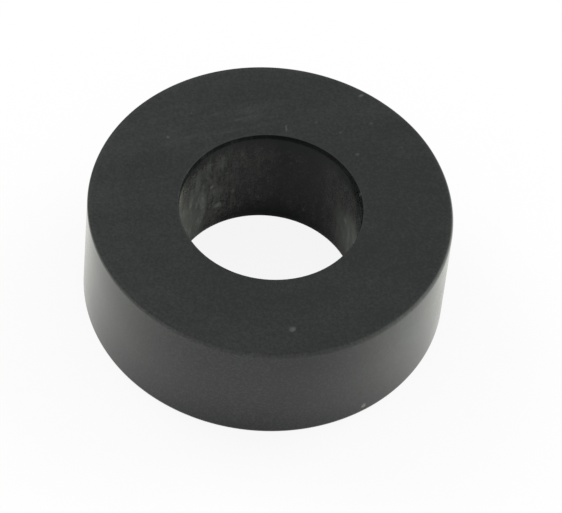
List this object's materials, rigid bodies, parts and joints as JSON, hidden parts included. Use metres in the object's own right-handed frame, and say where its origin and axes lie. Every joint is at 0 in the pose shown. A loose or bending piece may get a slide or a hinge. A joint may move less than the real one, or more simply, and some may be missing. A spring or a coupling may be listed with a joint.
{
  "type": "foosball rod bumper",
  "caption": "Thick plain rubber ring that slides on a round games-table rod and cushions the end of its travel.",
  "frame": {"origin": "centre of the lower flat face, on the bore's axis", "axes": "+Z along the bore, from the lower flat face to the upper one; the ring is the same all round, so +X and +Y are free"},
  "size_m": [0.0322, 0.0322, 0.0115],
  "materials": {
    "rubber": "satin"
  },
  "bodies": {
    "root": {"bumper_ring": "rubber"}
  },
  "joints": []
}
